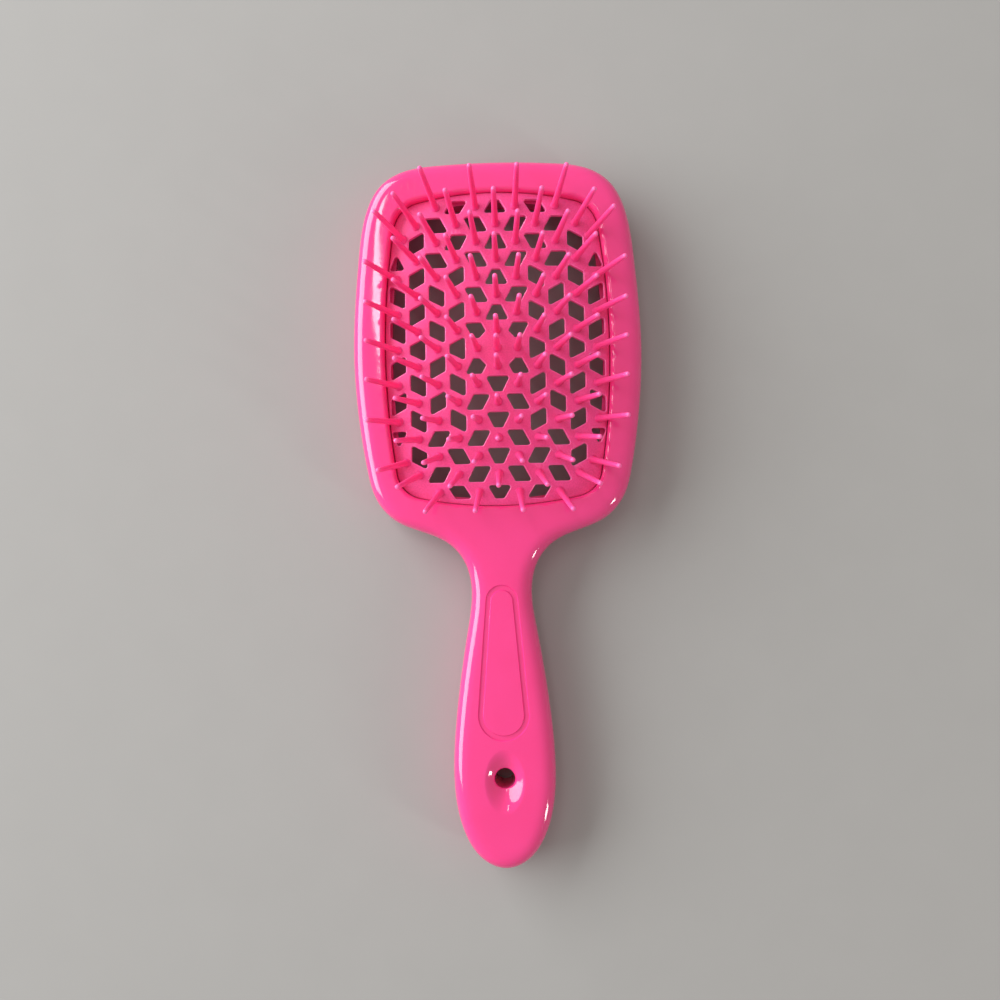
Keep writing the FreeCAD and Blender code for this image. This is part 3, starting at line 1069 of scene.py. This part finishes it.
def rounded_polygon(
    corners: list[tuple[float, float]], spread: float, radius: float, steps: int
) -> list[tuple]:
    """A convex polygon moved outwards, with round corners.

    Args:
        corners: Its corners, counter-clockwise.
        spread: How far its sides move outwards.
        radius: Radius of its corners.
        steps: Steps in each corner.

    Returns:
        Its points, counter-clockwise.
    """
    points = []
    count = len(corners)
    for i in range(count):
        before, here, after = (Vector(corners[j % count]) for j in (i - 1, i, i + 1))
        arriving, leaving = (here - before).normalized(), (after - here).normalized()
        out_a, out_b = Vector((arriving.y, -arriving.x)), Vector((leaving.y, -leaving.x))
        bisector = (out_a + out_b).normalized()
        miter = 1 / bisector.dot(out_a)
        centre = here + bisector * ((spread - radius) * miter)
        turn_a = math.atan2(out_a.y, out_a.x)
        turn = out_a.angle(out_b)
        for k in range(steps + 1):
            angle = turn_a + turn * k / steps
            points.append((centre.x + radius * math.cos(angle), centre.y + radius * math.sin(angle)))
    return points


# ---------------------------------------------------------------------------------------------
# The pins
# ---------------------------------------------------------------------------------------------


@dataclass
class PinSet:
    """Tapered pins with flared roots and round tips, which fan out from the pad's middle.

    Attributes:
        lattice: Where they stand.
        crown: The surface that they stand on.
        outline: Outline of the pad, which gives its middle.
        length: Length above the pad.
        root_r: Radius above the flare.
        tip_r: Radius of the round tip.
        flare_r: Radius of the flare where it meets the pad.
        flare_height: Height of the flare.
        fan_across: Sideways slope a*x + b*x**3, in metres.
        fan_along: Lengthways slope a*y + b*y**3, in metres.
        corner_shift: How far the corner pins step inwards and outwards along the border.
        sink: How far a pin's foot is sunk into the pad.
        sides: Sides of a pin.
    """

    lattice: Lattice = Lattice()
    crown: Crown = Crown()
    outline: BowedOutline = BowedOutline()
    length: float = 18.8 * MM
    root_r: float = 0.95 * MM
    tip_r: float = 0.68 * MM
    flare_r: float = 1.35 * MM
    flare_height: float = 1.0 * MM
    fan_across: tuple = (0.0071 / MM, 0.83e-5 / MM ** 3)
    fan_along: tuple = (0.0014 / MM, 0.38e-5 / MM ** 3)
    corner_shift: tuple = (1.9 * MM, 1.5 * MM)
    sink: float = 0.3 * MM
    sides: int = 16

    def build(self) -> bpy.types.Object:
        """Model one pin, copy it to every site and join the copies.

        Returns:
            The finished piece.
        """
        pattern = shell_from_rings("pin_pattern", self.pattern_rings())
        reach = pattern.data.attributes.new("reach", "FLOAT", "POINT")
        for vertex in pattern.data.vertices:
            reach.data[vertex.index].value = max(0.0, vertex.co.z / self.length)
        pins = [self.copy_to_site(pattern, column, row) for column, row in self.lattice.pin_sites()]
        bpy.data.objects.remove(pattern)
        piece = join("fanned_pins", pins)
        smooth(piece, PIN_CREASE)
        return piece

    def pattern_rings(self) -> list[Ring]:
        """Rings of an upright pin: sunk foot, curved flare, tapered shaft and round tip."""
        shoulder = self.length - self.tip_r
        profile = [(self.flare_r, -self.sink)]
        for i in range(6):
            share = i / 5
            r = self.root_r + (self.flare_r - self.root_r) * (1 - share) ** 2.4
            profile.append((r, self.flare_height * share))
        for share in (0.25, 0.5, 0.75):
            r = self.root_r + (self.tip_r - self.root_r) * share
            profile.append((r, self.flare_height + (shoulder - self.flare_height) * share))
        for i in range(6):
            turn = math.radians(17 * i)
            profile.append((self.tip_r * math.cos(turn), shoulder + self.tip_r * math.sin(turn)))
        turns = [2 * math.pi * k / self.sides for k in range(self.sides)]
        return [[Vector((r * math.cos(t), r * math.sin(t), z)) for t in turns] for r, z in profile]

    def copy_to_site(self, pattern: bpy.types.Object, column: int, row: int) -> bpy.types.Object:
        """Copy the pattern, lean it and stand it on the pad.

        Args:
            pattern: The upright pin.
            column: Its column.
            row: Its row.

        Returns:
            The copy, with its place in its mesh.
        """
        x, y = column * self.lattice.column_pitch, row * self.lattice.row_pitch
        if abs(column) == self.lattice.last_column and abs(row) == CORNER_PIN_ROW:
            x -= math.copysign(self.corner_shift[0], x)
            y += math.copysign(self.corner_shift[1], y)
        slope_x = self.fan_across[0] * x + self.fan_across[1] * x ** 3
        slope_y = self.fan_along[0] * y + self.fan_along[1] * y ** 3
        lean = Vector((0, 0, 1)).rotation_difference(Vector((slope_x, slope_y, 1))).to_matrix().to_4x4()
        foot = Vector((x, y + self.outline.middle_y, self.crown.height(x, y)))
        copy = pattern.copy()
        copy.data = pattern.data.copy()
        bpy.context.collection.objects.link(copy)
        copy.data.transform(Matrix.Translation(foot) @ lean)
        for vertex in copy.data.vertices[:2 * self.sides]:
            surface = self.crown.height(vertex.co.x, vertex.co.y - self.outline.middle_y)
            vertex.co.z = surface - (self.sink if vertex.index < self.sides else OVERCUT)
        return copy


# ---------------------------------------------------------------------------------------------
# Studio
# ---------------------------------------------------------------------------------------------


@dataclass
class Studio:
    """Pale floor, a large soft window light from the upper left, fills and the camera.

    Attributes:
        camera_place: Where the camera is.
        camera_pitch: Its lean along the brush, in radians.
        camera_roll: Its lean across the brush.
        camera_turn: Its turn about the line of sight.
        floor_colour: Colour of the floor.
    """

    camera_place: tuple = (4.8 * MM, -5.0 * MM, 301.6 * MM)
    camera_pitch: float = -0.0291
    camera_roll: float = -0.0167
    camera_turn: float = 0.0181
    floor_colour: tuple = (0.37, 0.368, 0.358, 1.0)

    def build(self) -> None:
        """Set up the floor, lights, world and camera."""
        self.floor()
        self.area_light("window", (-1.05, 0.42, 0.50), (1.90, 1.00), 35.0, (0.98, 0.99, 1.0))
        self.area_light("strip", (-0.205, 0.36, 1.00), (0.060, 0.36), 0.70, (0.97, 0.98, 1.0))
        self.area_light("far_wall", (0.70, -0.45, 0.35), (0.09, 0.22), 1.2, (1.0, 0.97, 0.94))
        world = bpy.data.worlds.new("studio")
        world.use_nodes = True
        world.node_tree.nodes["Background"].inputs["Color"].default_value = (0.88, 0.82, 0.78, 1.0)
        world.node_tree.nodes["Background"].inputs["Strength"].default_value = 0.56
        bpy.context.scene.world = world
        bpy.context.scene.view_settings.view_transform = "Standard"
        self.camera()

    def floor(self) -> None:
        """A plain pale floor just under the brush."""
        deselect_all()
        bpy.ops.mesh.primitive_plane_add(size=12.0, location=(0, 0, -0.02 * MM))
        floor = bpy.context.object
        floor.name = "floor"
        bpy.ops.object.transform_apply(location=True)
        tree = NodeTree("floor_paint")
        grain = tree.noise(tree.place(), 60.0, 3.0)
        darker = tuple(0.96 * value for value in self.floor_colour[:3]) + (1.0,)
        tree.vary(Base_Color=tree.mix(grain, self.floor_colour, darker))
        tree.constants(Roughness=0.95, Specular_IOR_Level=0.15)
        floor.data.materials.append(tree.material)

    @staticmethod
    def area_light(name: str, place: tuple, size: tuple, watts: float, colour: tuple) -> None:
        """Add a rectangular light that faces the brush."""
        data = bpy.data.lights.new(name, "AREA")
        data.shape = "RECTANGLE"
        data.size, data.size_y = size
        data.energy = watts
        data.color = colour
        light = bpy.data.objects.new(name, data)
        bpy.context.collection.objects.link(light)
        light.location = place
        light.rotation_euler = (-Vector(place)).to_track_quat("-Z", "Y").to_euler()

    def camera(self) -> None:
        """A camera straight above the brush, slightly off its middle."""
        data = bpy.data.cameras.new("camera")
        data.lens = 36.0
        data.sensor_width = 36.0
        data.clip_start = 0.01
        camera = bpy.data.objects.new("camera", data)
        bpy.context.collection.objects.link(camera)
        turn = Matrix.Rotation(-self.camera_roll, 4, "Y")
        turn = turn @ Matrix.Rotation(-self.camera_pitch, 4, "X") @ Matrix.Rotation(-self.camera_turn, 4, "Z")
        camera.matrix_world = Matrix.Translation(self.camera_place) @ turn
        bpy.context.scene.camera = camera


def main() -> None:
    """Build the brush and its studio."""
    logging.basicConfig(level=logging.INFO, format="%(name)s: %(message)s")
    dress(FrameMoulding().build(), Finish.FRAME, "handle_frame")
    dress(VentedPad().build(), Finish.PAD, "pin_pad")
    dress(PinSet().build(), Finish.PIN, "pins")
    Studio().build()


if __name__ == "__main__":
    main()
